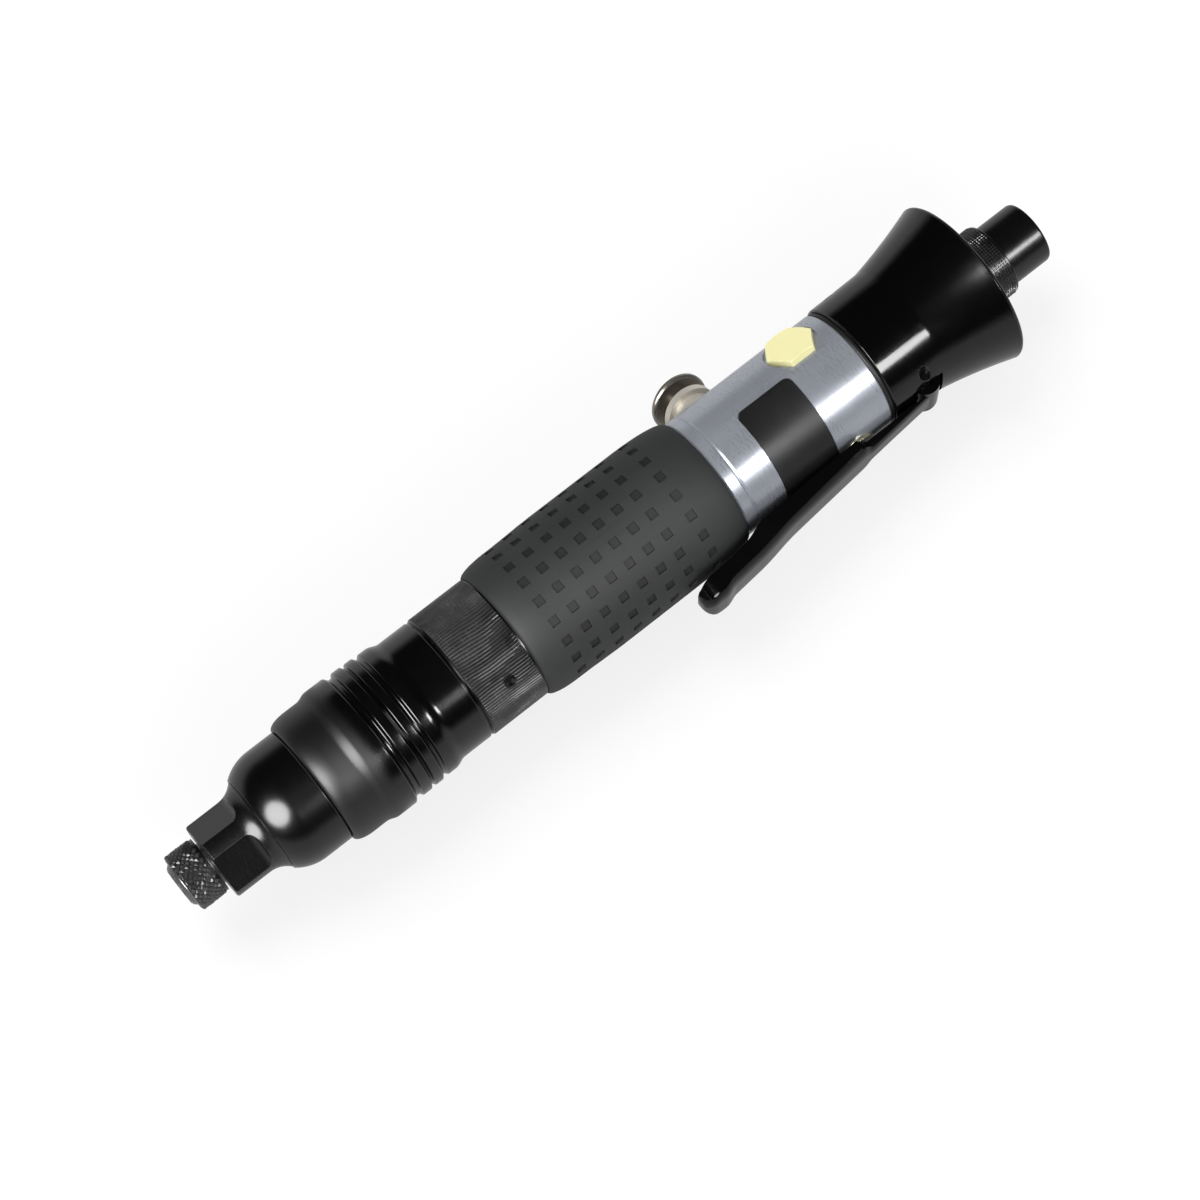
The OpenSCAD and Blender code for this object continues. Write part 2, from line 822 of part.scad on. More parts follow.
module motor_housing() {
    groove = x_motor + 3.5;
    color([0.5, 0.54, 0.6]) difference() {
        turned([
            [0, x_barrel], [collar_thread_r, x_barrel], [collar_thread_r, x_grip - 0.2],
            [barrel_r, x_grip], [barrel_r, x_motor], [motor_r - 0.4, x_motor],
            [motor_r, x_motor + 0.4], [motor_r, groove - 0.5], [motor_r - 0.35, groove],
            [motor_r, groove + 0.5], [motor_r, x_seal - 0.4], [motor_r - 0.4, x_seal],
            [spigot_r, x_seal], [spigot_r, x_spigot], [0, x_spigot]
        ]);
        shaft(barrel_bore, x_barrel - 1, x_motor_end);
        shaft(valve_chamber_r, x_motor_end - 1, x_valve_end);
        shaft(channel_r, x_valve_end - 1, x_socket + 1);
        shaft(socket_r, x_socket, x_spigot + 1);
        stud(x_button, button_angle, bush_wall_r, bush_bottom, motor_r + 2);
        stud(x_throttle, lever_angle, throttle_bush_r, throttle_well, motor_r + 2);
        stud(x_throttle, lever_angle, throttle_flange_r, throttle_top - throttle_flange_t - 0.6,
            motor_r + 2);
        stud(x_throttle, plug_angle, plug_r, plug_seat - plug_depth - 0.4, motor_r + 2);
        stud(x_throttle, plug_angle, spot_r, plug_seat, motor_r + 2);
        for (a = exhaust_angles)
            outward(0, a) translate([0, 0, exhaust_orbit])
                shaft(exhaust_r, x_motor_end - 1, x_spigot + 1);
        label_band(label_t, 1);
    }
}

// ---- Label: a plate wrapped round the housing, from beside the plug to under the lever ----

label_t = 0.35;
label_len = 16.4;
label_angles = [-103, 13];
label_corner = 1.8;
x_label = x_throttle - 6 - label_len;

// Cuts one corner of the label round; side_x and side_y are 1 or -1
module corner_cut(side_x, side_y) {
    r = label_corner;
    arc = [for (a = [12 : 22 : 78]) [side_x * r * cos(a), side_y * r * sin(a)]];
    translate([0, 0, motor_r - 3]) linear_extrude(height = 6)
        polygon(concat(
            [[side_x * (r + 0.8), -0.5 * side_y]],
            arc,
            [[-0.5 * side_x, side_y * (r + 0.8)], [side_x * (r + 0.8), side_y * (r + 0.8)]]
        ));
}

// A skin of the housing with round corners, from depth below to proud above its surface
module label_band(depth, proud, inset = 0) {
    per_mm = 180 / PI / motor_r;
    a = label_angles[0] + inset * per_mm;
    b = label_angles[1] - inset * per_mm;
    from = x_label + inset;
    to = x_label + label_len - inset;
    turn = label_corner * per_mm;
    difference() {
        rotate([0, 90, 0]) rotate([0, 0, 180 - b]) rotate_extrude(angle = b - a) polygon([
            [motor_r - depth, from], [motor_r + proud, from],
            [motor_r + proud, to], [motor_r - depth, to]
        ]);
        outward(from + label_corner, a + turn) corner_cut(-1, -1);
        outward(from + label_corner, b - turn) corner_cut(-1, 1);
        outward(to - label_corner, a + turn) corner_cut(1, -1);
        outward(to - label_corner, b - turn) corner_cut(1, 1);
    }
}

module label_plate() {
    color([0.15, 0.15, 0.15]) label_band(label_t, 0.1, 0.15);
}

// The grip's rear rounding runs over this length, and its radius there and further ahead
grip_round = 13.8;

function grip_radius(x) =
    let (t = max(0, min(1, (x - x_motor + grip_round) / (grip_round - 0.1))), f = (x - x_grip - 9) / 13)
    x < x_motor - grip_round
        ? grip_r - 0.3 * (1 + cos(180 * max(0, min(1, f)))) / 2
        : grip_r - (grip_rise + 0.15) * (1 - sqrt(1 - t * t));

// Pockets stand at even steps along the grip, and the last row a little further back
pocket_first = x_grip + 8.9;
pocket_pitch = (grip_len - 22.6) / 7 + 0.05;
pocket_turn = 7.2;

function pocket_station(i) = pocket_first + i * pocket_pitch + (i == pocket_cols - 1 ? 1.7 : 0);

module rubber_grip() {
    color([0.24, 0.25, 0.26]) difference() {
        turned(concat(
            [[barrel_r + fit, x_grip + 0.1], [grip_end_r - 0.2, x_grip + 0.1]],
            ease_out([grip_end_r, x_grip + 0.3], [grip_r - 0.3, x_grip + 8]),
            s_curve([grip_r - 0.3, x_grip + 9], [grip_r, x_grip + 22], 4),
            [
                for (a = [0 : 10 : 90])
                    let (x = x_motor - grip_round + (grip_round - 0.1) * sin(a))
                    [grip_radius(x), x]
            ],
            [[barrel_r + fit, x_motor - 0.1]]
        ));
        for (i = [0 : pocket_cols - 1], j = [0 : pocket_rows - 1])
            outward(pocket_station(i), pocket_turn + j * 360 / pocket_rows)
                translate([-pocket_w / 2, -pocket_w / 2, grip_radius(pocket_station(i)) - pocket_depth])
                    cube([pocket_w, pocket_w, 2]);
    }
}

// ---- Valves ----

module reverse_bush() {
    color([0.75, 0.7, 0.62]) outward(x_button, button_angle) difference() {
        union() {
            translate([0, 0, bush_bottom]) cylinder(r = bush_wall_r, h = bush_top - bush_bottom);
            translate([0, 0, bush_top - bush_flange_t]) cylinder(r = bush_flange_r, h = bush_flange_t);
        }
        translate([0, 0, bush_bottom + 0.4]) cylinder(r = spool_r + fit, h = bush_top - bush_bottom);
        translate([-10, 0, 0]) rotate([0, 90, 0]) cylinder(r = channel_r, h = 20);
    }
}

module reverse_button() {
    head_top = button_under + button_t;
    color([0.75, 0.7, 0.62]) outward(x_button, button_angle) rotate_extrude() polygon([
        [0, spool_bottom], [spool_r, spool_bottom], [spool_r, -3.4], [2.2, -3.4], [2.2, 6.4],
        [spool_r, 6.4], [spool_r, bush_top - 1.2], [spool_r - 0.6, bush_top - 0.8],
        [spool_r - 0.6, button_under], [button_r - 0.5, button_under],
        [button_r, button_under + 0.5], [button_r, head_top - 0.6],
        [button_r - 0.6, head_top], [0, head_top]
    ]);
}

module hex_plug() {
    corner_r = plug_af / 2 / cos(30);
    color("gold") outward(x_throttle, plug_angle) {
        intersection() {
            translate([0, 0, plug_seat]) cylinder(r = corner_r, h = plug_top - plug_seat, $fn = 6);
            translate([0, 0, plug_seat]) cylinder(
                r1 = plug_af / 2 + 2 * (plug_top - plug_seat), r2 = plug_af / 2 - 0.1,
                h = plug_top - plug_seat);
        }
        translate([0, 0, plug_seat - plug_depth]) cylinder(r = plug_r - fit, h = plug_depth + 0.5);
    }
}

module throttle_bush() {
    color("gold") outward(x_throttle, lever_angle) difference() {
        union() {
            translate([0, 0, throttle_seat])
                cylinder(r = throttle_bush_r, h = throttle_top - throttle_seat);
            translate([0, 0, throttle_top - throttle_flange_t - 0.6])
                cylinder(r = throttle_flange_r, h = throttle_flange_t + 0.6);
        }
        translate([0, 0, throttle_seat - 1]) cylinder(r = throttle_r + fit, h = 10);
    }
}

// A blend from 0 to 1
function blend(t) = (1 - cos(180 * max(0, min(1, t)))) / 2;

// Distance of the lever's outer face from the axis at a station ahead of the pivot
function lever_outer(x) =
    neck_outer + lever_slope * (x_pivot - 4 - x) + swell * blend((x_swell - x) / swell_run);

throttle_reach = lever_outer(x_throttle + throttle_r) - lever_wall - 0.06;

module throttle_pin() {
    head_top = throttle_seat - 0.05;
    color("silver") outward(x_throttle, lever_angle) rotate_extrude() polygon([
        [0, head_top - throttle_head_t], [throttle_head_r, head_top - throttle_head_t],
        [throttle_head_r, head_top], [throttle_r, head_top],
        [throttle_r, throttle_reach - 0.5], [throttle_r - 0.7, throttle_reach], [0, throttle_reach]
    ]);
}

module throttle_spring() {
    top = throttle_seat - throttle_head_t - 0.07;
    color("silver") translate([x_throttle, 0, 0]) rotate([0, 0, -90])
        coil(throttle_head_r - 0.6, 0.3, throttle_well + 0.02, top, 5, 12);
}

// ---- Lever ----

tip_top = lever_outer(x_tip + 4) + tip_rise;

// Half width of the lever's plan: a round nose, a wide channel and a narrow neck
function plan_half(x, inset) =
    let (s = x - x_tip - inset, w = lever_half - inset, n = neck_half - inset)
    s <= 0 ? 0
    : s < tip_nose ? w * sqrt(1 - pow(1 - s / tip_nose, 2))
    : w + (n - w) * blend((x - x_shoulder) / 3);

// Outer face with the turned-up tip
function crest(x) =
    let (s = x - x_tip)
    s < tip_r ? tip_top - tip_r + sqrt(tip_r * tip_r - pow(tip_r - s, 2))
    : tip_top + (lever_outer(x) - tip_top) * blend((s - dip_from) / (dip_to - dip_from));

// Lowest place of the free edges that still clears the body when the lever is pressed
function edge_over(x, z) =
    let (r = x - 0.6 > x_motor ? motor_r : grip_radius(x - 0.6))
    sqrt(r * r - z * z) + (x_pivot - x) * sin(lever_swing) + edge_clear;

function lever_edge(x) =
    x > x_shoulder + 0.1 ? neck_inner
    : max(
        edge_over(x, plan_half(x, lever_wall)),
        x - x_tip < tip_r ? tip_top - tip_r - sqrt(tip_r * tip_r - pow(tip_r - (x - x_tip), 2)) : 0
    );

// Section across the lever: flat edges, upright walls and a crowned outer face
function lever_section(x, w, low, high, crown) =
    let (ry = min(crown, (high - low) * 0.55), rz = w * 0.58)
    concat(
        [[x, -low, -w]],
        [for (a = [0 : 18 : 90]) [x, -(high - ry + ry * sin(a)), -(w - rz + rz * cos(a))]],
        [for (a = [90 : -18 : 0]) [x, -(high - ry + ry * sin(a)), w - rz + rz * cos(a)]],
        [[x, -low, w]]
    );

// A closed skin over sections that have the same number of points
module loft(sections) {
    n = len(sections[0]);
    last = len(sections) - 1;
    walls = [
        for (i = [0 : last - 1], k = [0 : n - 1])
            let (m = (k + 1) % n, a = i * n, b = (i + 1) * n)
            each [[a + k, a + m, b + m], [a + k, b + m, b + k]]
    ];
    front = [for (k = [n - 1 : -1 : 0]) k];
    back = [for (k = [0 : n - 1]) last * n + k];
    polyhedron(points = [for (one = sections) each one], faces = concat([front], walls, [back]),
        convexity = 8);
}

lever_stations = concat(
    [for (s = [0.12, 0.45, 1, 1.7, 2.5, 3.4, 4.3, 5.2, 6.3, 7.4, 8.5]) x_tip + s],
    [for (i = [0 : 20]) x_tip + 9.6 + (x_shoulder - x_tip - 9.6) * i / 20],
    [x_shoulder + 0.8, x_shoulder + 1.6, x_shoulder + 2.4, x_shoulder + 3.2, x_pivot]
);

module lever() {
    hollow_from = x_tip + lever_wall + 0.1;
    hollow_to = x_throttle + 6;
    inner_stations = concat(
        [hollow_from],
        [for (x = lever_stations) if (x > hollow_from + 0.1 && x < hollow_to - 1) x],
        [hollow_to]
    );
    color("black") difference() {
        union() {
            loft([
                for (x = lever_stations)
                    lever_section(x, plan_half(x, 0), lever_edge(x), crest(x), 1.6)
            ]);
            translate([x_pivot, -pivot_d, -lug_half]) cylinder(r = lug_r, h = 2 * lug_half);
        }
        loft([
            for (x = inner_stations)
                lever_section(x, plan_half(x, lever_wall), 0, crest(x) - lever_wall, 0.8)
        ]);
        translate([x_pivot, -pivot_d, -lug_half - 1])
            cylinder(r = pivot_r + fit, h = 2 * lug_half + 2);
    }
}

pin_half = sqrt(cap_r * cap_r - pivot_d * pivot_d) - 0.3;

module lever_pin() {
    color("dimgray") translate([x_pivot, -pivot_d, -pin_half]) cylinder(r = pivot_r, h = 2 * pin_half);
}

// ---- Tail ----

module cap_seal() {
    color([0.05, 0.05, 0.05]) turned([
        [spigot_r, x_seal], [motor_r - 0.3, x_seal], [motor_r - 0.1, x_seal + 0.3],
        [motor_r - 0.1, x_cap - 0.3], [motor_r - 0.3, x_cap], [spigot_r, x_cap]
    ]);
}

// Outer radius of the flare at a distance behind its start
flare_len = x_rim - 1 - x_flare;

function flare_radius(t) =
    cap_r + 0.25 + (rim_r - cap_r - 0.25) * (t / flare_len - flare_bow * t / flare_len * (1 - t / flare_len) * 0.3);

module tail_cap() {
    steps = 8;
    outside = [for (i = [0 : steps]) [flare_radius(flare_len * i / steps), x_flare + flare_len * i / steps]];
    inside = [
        for (i = [steps : -1 : 1])
            let (t = flare_len * (0.12 + 0.88 * i / steps))
            [flare_radius(t) - cap_wall, x_flare + t]
    ];
    lip_arc = [
        for (a = [30 : 30 : 150])
            [rim_r - lip + lip * cos(a - 0), x_rim - 1 + lip * sin(a)]
    ];
    color("black") difference() {
        turned(concat(
            [[spigot_r, x_cap], [cap_r - 0.35, x_cap], [cap_r, x_cap + 0.35]],
            outside, lip_arc, inside,
            [[cap_throat, x_cavity], [cap_throat, x_spigot], [spigot_r, x_spigot]]
        ));
        translate([x_pivot, -pivot_d, -lug_half - 0.4])
            cylinder(r = lug_r + lug_gap, h = 2 * lug_half + 0.8);
        translate([x_pivot, -pivot_d, -cap_r]) cylinder(r = pivot_r, h = 2 * cap_r);
        stud(x_screw, screw_angle, 1.5, screw_foot - 0.1, cap_r + 1);
        stud(x_screw, screw_angle, 2.6, cap_r - 0.9, cap_r + 1);
    }
}

module cap_screw() {
    color("black") outward(x_screw, screw_angle) difference() {
        union() {
            translate([0, 0, screw_foot]) cylinder(r = 1.5, h = cap_r - 0.8 - screw_foot);
            translate([0, 0, cap_r - 0.9]) cylinder(r1 = 2.4, r2 = 2.2, h = 0.9);
        }
        translate([0, 0, cap_r - 0.7]) cylinder(r = 1.15, h = 2, $fn = 6);
    }
}

module silencer() {
    color("wheat") sleeve(flare_radius(x_silencer - x_flare) - cap_wall - 0.2, stem_r + 0.2,
        x_silencer, x_exhaust_plate - 0.1);
}

module exhaust_plate() {
    plate_r = flare_radius(x_exhaust_plate - x_flare) - cap_wall - 0.05;
    color([0.1, 0.1, 0.1]) difference() {
        shaft(plate_r, x_exhaust_plate, x_exhaust_plate + exhaust_plate_t);
        shaft(stem_r, x_exhaust_plate - 1, x_inlet_ring + 1);
        for (row = [[12, 11.8], [18, 15.2]])
            round_axis(row[0]) translate([0, 0, row[1]])
                shaft(1.3, x_exhaust_plate - 1, x_exhaust_plate + exhaust_plate_t + 1);
    }
}

// The bush's collar holds the exhaust plate from behind
x_collar_step = x_exhaust_plate + exhaust_plate_t + 0.01;

module inlet_bush() {
    color("black") turned([
        [drill_r, x_socket + 0.1], [socket_r, x_socket + 0.1], [socket_r, x_spigot + 0.3],
        [stem_r, x_spigot + 0.3], [stem_r, x_collar_step], [stem_collar_r, x_collar_step],
        [stem_collar_r, x_inlet_ring], [ring_seat_r, x_inlet_ring],
        [ring_seat_r, x_inlet], [inlet_r, x_inlet],
        [inlet_r, x_end - 0.9], [inlet_r - 0.25, x_end - 0.25], [inlet_r - 0.9, x_end],
        [inlet_bore, x_end], [inlet_bore, x_thread], [drill_r, x_thread]
    ]);
}

module inlet_ring() {
    color([0.08, 0.08, 0.08]) turned([
        [ring_seat_r, x_inlet_ring], [inlet_ring_r - 0.4, x_inlet_ring],
        [inlet_ring_r, x_inlet_ring + 0.4], [inlet_ring_r, x_inlet - 0.35],
        [inlet_ring_r - 0.35, x_inlet], [ring_seat_r, x_inlet]
    ]);
}

module inlet_strainer() {
    wall = 0.4;
    base = x_thread - strainer_depth;
    color("silver") turned([
        [drill_r - wall, x_thread - 0.2], [drill_r - wall, x_thread - 1.6],
        [drill_r - 1 - wall, base + wall], [0, base + wall], [0, base], [drill_r - 1, base],
        [drill_r, x_thread - 1.6], [drill_r, x_thread - 0.2]
    ]);
}

// ---- The parts, one by one ----

bit_holder();
retaining_cap();
chuck_spring();
chuck_sleeve();
chuck_balls();
nose_housing();
nose_bush();
torque_ring();
adjusting_nut();
clutch_spring();
thrust_washer();
clutch_cam();
clutch_balls();
planet_carrier();
planet_pins();
planet_gear(0);  // planet_gear_1
planet_gear(1);  // planet_gear_2
planet_gear(2);  // planet_gear_3
carrier_ring();
carrier_bearing();
ring_gear();
clutch_housing();
lock_collar();
front_end_plate();
front_bearing();
cylinder_liner();
rotor();
rotor_vanes();
rear_end_plate();
rear_bearing();
shutoff_rod();
shutoff_spring();
motor_housing();
rubber_grip();
label_plate();
reverse_bush();
reverse_button();
hex_plug();
throttle_bush();
throttle_pin();
throttle_spring();
lever();
lever_pin();
cap_seal();
tail_cap();
cap_screw();
silencer();
exhaust_plate();
inlet_bush();
inlet_ring();
inlet_strainer();
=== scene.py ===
"""Air torque screwdriver: finishes, knurls, springs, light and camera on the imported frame."""
import json
import math

import bmesh
import bpy
from mathutils import Matrix, Vector

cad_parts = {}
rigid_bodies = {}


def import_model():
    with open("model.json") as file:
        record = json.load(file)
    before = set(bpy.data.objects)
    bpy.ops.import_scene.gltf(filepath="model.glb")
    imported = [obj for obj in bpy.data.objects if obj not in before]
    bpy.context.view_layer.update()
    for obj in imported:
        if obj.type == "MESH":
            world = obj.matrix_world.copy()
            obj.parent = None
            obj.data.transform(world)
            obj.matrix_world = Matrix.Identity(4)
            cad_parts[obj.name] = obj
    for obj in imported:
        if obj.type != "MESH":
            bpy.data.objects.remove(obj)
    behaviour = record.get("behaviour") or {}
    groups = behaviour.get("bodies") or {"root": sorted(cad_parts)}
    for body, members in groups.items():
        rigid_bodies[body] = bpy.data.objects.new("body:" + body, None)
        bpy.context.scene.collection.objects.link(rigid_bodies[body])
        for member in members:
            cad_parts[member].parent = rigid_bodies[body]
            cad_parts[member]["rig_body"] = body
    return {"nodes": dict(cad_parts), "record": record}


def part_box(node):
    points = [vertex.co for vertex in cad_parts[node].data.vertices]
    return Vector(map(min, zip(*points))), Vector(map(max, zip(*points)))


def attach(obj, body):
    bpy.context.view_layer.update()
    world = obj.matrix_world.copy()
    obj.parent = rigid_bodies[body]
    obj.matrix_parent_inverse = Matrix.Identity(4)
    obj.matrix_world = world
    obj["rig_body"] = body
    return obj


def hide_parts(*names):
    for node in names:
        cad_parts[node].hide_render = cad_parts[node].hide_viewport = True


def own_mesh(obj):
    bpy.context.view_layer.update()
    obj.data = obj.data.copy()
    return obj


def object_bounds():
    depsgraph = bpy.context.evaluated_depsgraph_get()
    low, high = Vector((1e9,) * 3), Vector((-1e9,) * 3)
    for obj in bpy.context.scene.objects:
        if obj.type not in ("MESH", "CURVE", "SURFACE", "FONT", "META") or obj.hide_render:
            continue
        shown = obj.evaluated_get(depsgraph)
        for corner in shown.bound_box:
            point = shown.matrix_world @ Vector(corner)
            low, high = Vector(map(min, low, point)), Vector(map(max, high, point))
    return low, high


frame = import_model()
CAD_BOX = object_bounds()
NODES = frame["nodes"]
SLOT_OF = {s["node"]: s["material_slot"] for s in frame["record"]["subparts"]}
MM = 0.001
WHITE = (1, 1, 1, 1)

# The tool's axis, and the way out from it that faces the camera
AXIS = Vector((1, 0, 0))
FACING_ANGLE = math.radians(-15)
FACING = Vector((0, math.sin(FACING_ANGLE), math.cos(FACING_ANGLE)))


# ---- Shader and geometry nodes ----

def fill(node, inputs):
    """Sets a node's inputs, and links those whose value is another node's output."""
    for key, value in inputs.items():
        if isinstance(value, bpy.types.NodeSocket):
            node.id_data.links.new(value, node.inputs[key])
        else:
            node.inputs[key].default_value = value


def node_adder(tree):
    """A shorthand that adds a node to a tree, changes its settings and fills its inputs."""
    def add(kind, inputs=None, **settings):
        node = tree.nodes.new(kind)
        for key, value in settings.items():
            setattr(node, key, value)
        fill(node, inputs or {})
        return node

    return add


def emptied(owner):
    """Clears the nodes of a material or a world, and gives the shorthand for its tree."""
    owner.use_nodes = True
    owner.node_tree.nodes.clear()
    return node_adder(owner.node_tree)


def noise(add, place, scale, detail, rough):
    return add("ShaderNodeTexNoise", {"Vector": place, "Scale": scale, "Detail": detail,
                                      "Roughness": rough}).outputs[0]


def mapped(add, value, low, high, to_low, to_high, **settings):
    """Takes low and high to to_low and to_high, and what lies between them evenly."""
    return add("ShaderNodeMapRange", {0: value, 1: low, 2: high, 3: to_low, 4: to_high},
               **settings).outputs[0]


def mixed_value(add, share, first, second):
    return add("ShaderNodeMix", {0: share, 2: first, 3: second}, data_type="FLOAT").outputs[0]


def mixed_colour(add, share, first, second):
    return add("ShaderNodeMix", {0: share, 6: first, 7: (*second, 1)},
               data_type="RGBA").outputs[2]


def math_node(add, operation, *values):
    return add("ShaderNodeMath", dict(enumerate(values)), operation=operation).outputs[0]


def ramp(add, source, stops):
    """A colour ramp with (position, colour) stops."""
    node = add("ShaderNodeValToRGB", {0: source})
    for element, (position, colour) in zip(node.color_ramp.elements, stops):
        element.position = position
        element.color = (*colour, 1)
    return node.outputs[0]


# ---- Finishes ----

def new_finish(name):
    """A material, its shader, the shorthand for its nodes and the place on the piece."""
    mat = bpy.data.materials.new(name)
    mat.use_nodes = True
    shader = next(n for n in mat.node_tree.nodes if n.type == "BSDF_PRINCIPLED")
    add = node_adder(mat.node_tree)
    return mat, shader, add, add("ShaderNodeTexCoord").outputs["Object"]


def tint(colour, share, plus=0.0):
    """A colour made lighter or darker, and never above full strength."""
    return tuple(min(1, c * share + plus) for c in colour)


def face_value(add, name):
    """The number that a piece keeps for each of its faces."""
    return add("ShaderNodeAttribute", attribute_name=name).outputs["Fac"]


def turning_marks(add, place, pitch, wander=0.08):
    """Fine rings round the axis, as a lathe or a brushing belt leaves them."""
    bent = add("ShaderNodeVectorMath", {0: place, 1: (1.0, wander, wander)},
               operation="MULTIPLY").outputs[0]
    return noise(add, bent, 1.0 / (pitch * MM), 3.0, 0.6)


def metal(name, colour, rough, spread=0.06, metallic=1.0, pitch=0.25, grain=True, tone=0.12,
          specular=0.5, rub_and_sheen=0.06, dull_until=None):
    """Turned or polished metal, or its oxide: rings, faint smudges, and paler edges and knurl tops
    that are partly rubbing wear and partly painted highlight.

    dull_until is the station up to which hands have dulled the gloss."""
    mat, shader, add, place = new_finish(name)
    smudge = noise(add, place, 55.0, 4.0, 0.6)
    rings = turning_marks(add, place, pitch) if grain else smudge
    level = mixed_value(add, 0.45, rings, smudge)
    gloss = mapped(add, level, 0.3, 0.7, max(0.02, rough - spread), rough + spread)
    if dull_until is not None:
        station = add("ShaderNodeSeparateXYZ", {0: place}).outputs[0]
        handled = mapped(add, station, dull_until - 2 * MM, dull_until + 2 * MM, 0.27, 0.0,
                         interpolation_type="SMOOTHSTEP")
        gloss = math_node(add, "ADD", gloss, handled)
    surface = ramp(add, level, [(0.3, tint(colour, 1 - tone)), (0.7, tint(colour, 1 + tone))])
    patchy = mapped(add, smudge, 0.35, 0.65, 0.15, 1.0)
    # Edges and knurl tops are painted paler: partly rubbing wear, partly painted highlight
    wear_and_sheen = math_node(add, "MULTIPLY", face_value(add, "edge"), patchy)
    fill(shader, {
        "Roughness": gloss,
        "Base Color": mixed_colour(add, wear_and_sheen, surface, tint(colour, 1.2, rub_and_sheen)),
        "Metallic": metallic,
        "Specular IOR Level": specular})
    return mat


def rubber(name, colour, rough=0.66, mottle=0.14):
    """Moulded rubber: a fine grain, broad tone changes, and painted shade in the grip's pockets.
    """
    mat, shader, add, place = new_finish(name)
    fine = noise(add, place, 3200.0, 3.0, 0.65)
    broad = noise(add, place, 45.0, 3.0, 0.55)
    surface = ramp(add, mixed_value(add, 0.55, fine, broad),
                   [(0.35, tint(colour, 1 - mottle)), (0.65, tint(colour, 1 + mottle))])
    fill(shader, {
        "Roughness": mapped(add, broad, 0.3, 0.7, rough - 0.06, rough + 0.06),
        # Pocket faces are painted much darker: painted shade in the recesses
        "Base Color": mixed_colour(add, face_value(add, "pocket"), surface, tint(colour, 0.12)),
        "Specular IOR Level": 0.30})
    return mat


# Station up to which the clutch housing is dulled
HANDLED_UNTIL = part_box("clutch_housing")[0][0] + 14 * MM

FINISH = {
    "black_anodised": metal("gloss black anodised aluminium", (0.0015, 0.0015, 0.0016), 0.14,
                            metallic=0.0, spread=0.03, specular=0.42, pitch=0.3, rub_and_sheen=0.04),
    "ring_black": metal("soft gloss black anodised aluminium", (0.0015, 0.0015, 0.0016), 0.215,
                        metallic=0.0, spread=0.03, rub_and_sheen=0.04),
    "clutch_black": metal("black anodised aluminium, handled", (0.0018, 0.0018, 0.0019), 0.15,
                          metallic=0.0, spread=0.03, rub_and_sheen=0.04, dull_until=HANDLED_UNTIL),
    "black_paint": metal("black painted steel", (0.0022, 0.0022, 0.0023), 0.16,
                         metallic=0.0, specular=0.28, grain=False, rub_and_sheen=0.03),
    "black_oxide": metal("black oxide steel", (0.0030, 0.0030, 0.0032), 0.25,
                         metallic=0.0, pitch=0.2),
    "steel": metal("ground steel", (0.60, 0.60, 0.61), 0.22),
    "gear_steel": metal("machined gear steel", (0.36, 0.36, 0.37), 0.34),
    "grey_anodised": metal("blue-grey anodised housing", (0.35, 0.37, 0.415), 0.29,
                           metallic=0.45, spread=0.05, tone=0.06, pitch=0.18),
    "rubber_grey": rubber("charcoal grip rubber", (0.0225, 0.0235, 0.0242)),
    "seal_rubber": rubber("black seal rubber", (0.008, 0.008, 0.008), rough=0.45),
    "label_black": metal("satin black label", (0.0075, 0.0075, 0.008), 0.42,
                         metallic=0.0, grain=False, specular=0.35),
    "plug_brass": metal("polished brass plug", (0.92, 0.87, 0.45), 0.34,
                        metallic=0.0, tone=0.02, grain=False),
    "nickel": metal("satin nickel", (0.60, 0.56, 0.50), 0.24),
    "smoked_nickel": metal("smoked nickel", (0.26, 0.24, 0.21), 0.22, metallic=0.7),
    "dull_nickel": metal("dull nickel", (0.66, 0.62, 0.55), 0.38, metallic=0.5),
    "gunmetal": metal("satin gunmetal", (0.15, 0.147, 0.144), 0.28, metallic=0.7),
    "pale_brass": metal("worn pale brass", (0.62, 0.58, 0.44), 0.28, metallic=0.8, tone=0.05),
    "bronze": metal("sintered bronze", (0.42, 0.26, 0.12), 0.5, grain=False),
    "vane_laminate": rubber("brown vane laminate", (0.17, 0.09, 0.045), rough=0.5),
}


def paint(obj, finish):
    """Gives every face of an object one finish."""
    obj.data.materials.clear()
    obj.data.materials.append(FINISH[finish])
    for face in obj.data.polygons:
        face.material_index = 0


# ---- Meshes ----

def put(name, data):
    """A new object in the scene."""
    obj = bpy.data.objects.new(name, data)
    bpy.context.scene.collection.objects.link(obj)
    return obj


def smooth(mesh, angle):
    """Shades a mesh smooth, apart from edges sharper than the angle in degrees."""
    mesh.shade_smooth()
    mesh.set_sharp_from_angle(angle=math.radians(angle))


def reach(co):
    """Distance of a point from the tool's axis."""
    return math.hypot(co.y, co.z)


def widest(node):
    """Largest distance from the axis, and the stations of a turned node's ends."""
    low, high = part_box(node)
    return max(reach(v.co) for v in NODES[node].data.vertices), low[0], high[0]


def merged(node, sink=0.0):
    """A merged copy of a solid; sink lowers its widest face to leave room for a knurl."""
    mesh = NODES[node].data.copy()
    bm = bmesh.new()
    bm.from_mesh(mesh)
    bmesh.ops.remove_doubles(bm, verts=bm.verts, dist=2e-6)
    bmesh.ops.dissolve_limit(bm, angle_limit=math.radians(0.3), verts=bm.verts, edges=bm.edges)
    if sink:
        widest_face = max(reach(v.co) for v in bm.verts) - 0.03 * MM
        for v in bm.verts:
            r = reach(v.co)
            if r > widest_face:
                v.co.y *= (r - sink * MM) / r
                v.co.z *= (r - sink * MM) / r
    bm.to_mesh(mesh)
    bm.free()
    return mesh


def flattened(obj):
    """Turns what the modifiers make into the object's own mesh."""
    seen = obj.evaluated_get(bpy.context.evaluated_depsgraph_get())
    mesh = bpy.data.meshes.new_from_object(seen)
    obj.modifiers.clear()
    obj.data = mesh


def join(piece, others):
    """Adds the other meshes to a piece's own mesh."""
    bm = bmesh.new()
    for mesh in [piece.data] + others:
        bm.from_mesh(mesh)
    bm.to_mesh(piece.data)
    bm.free()


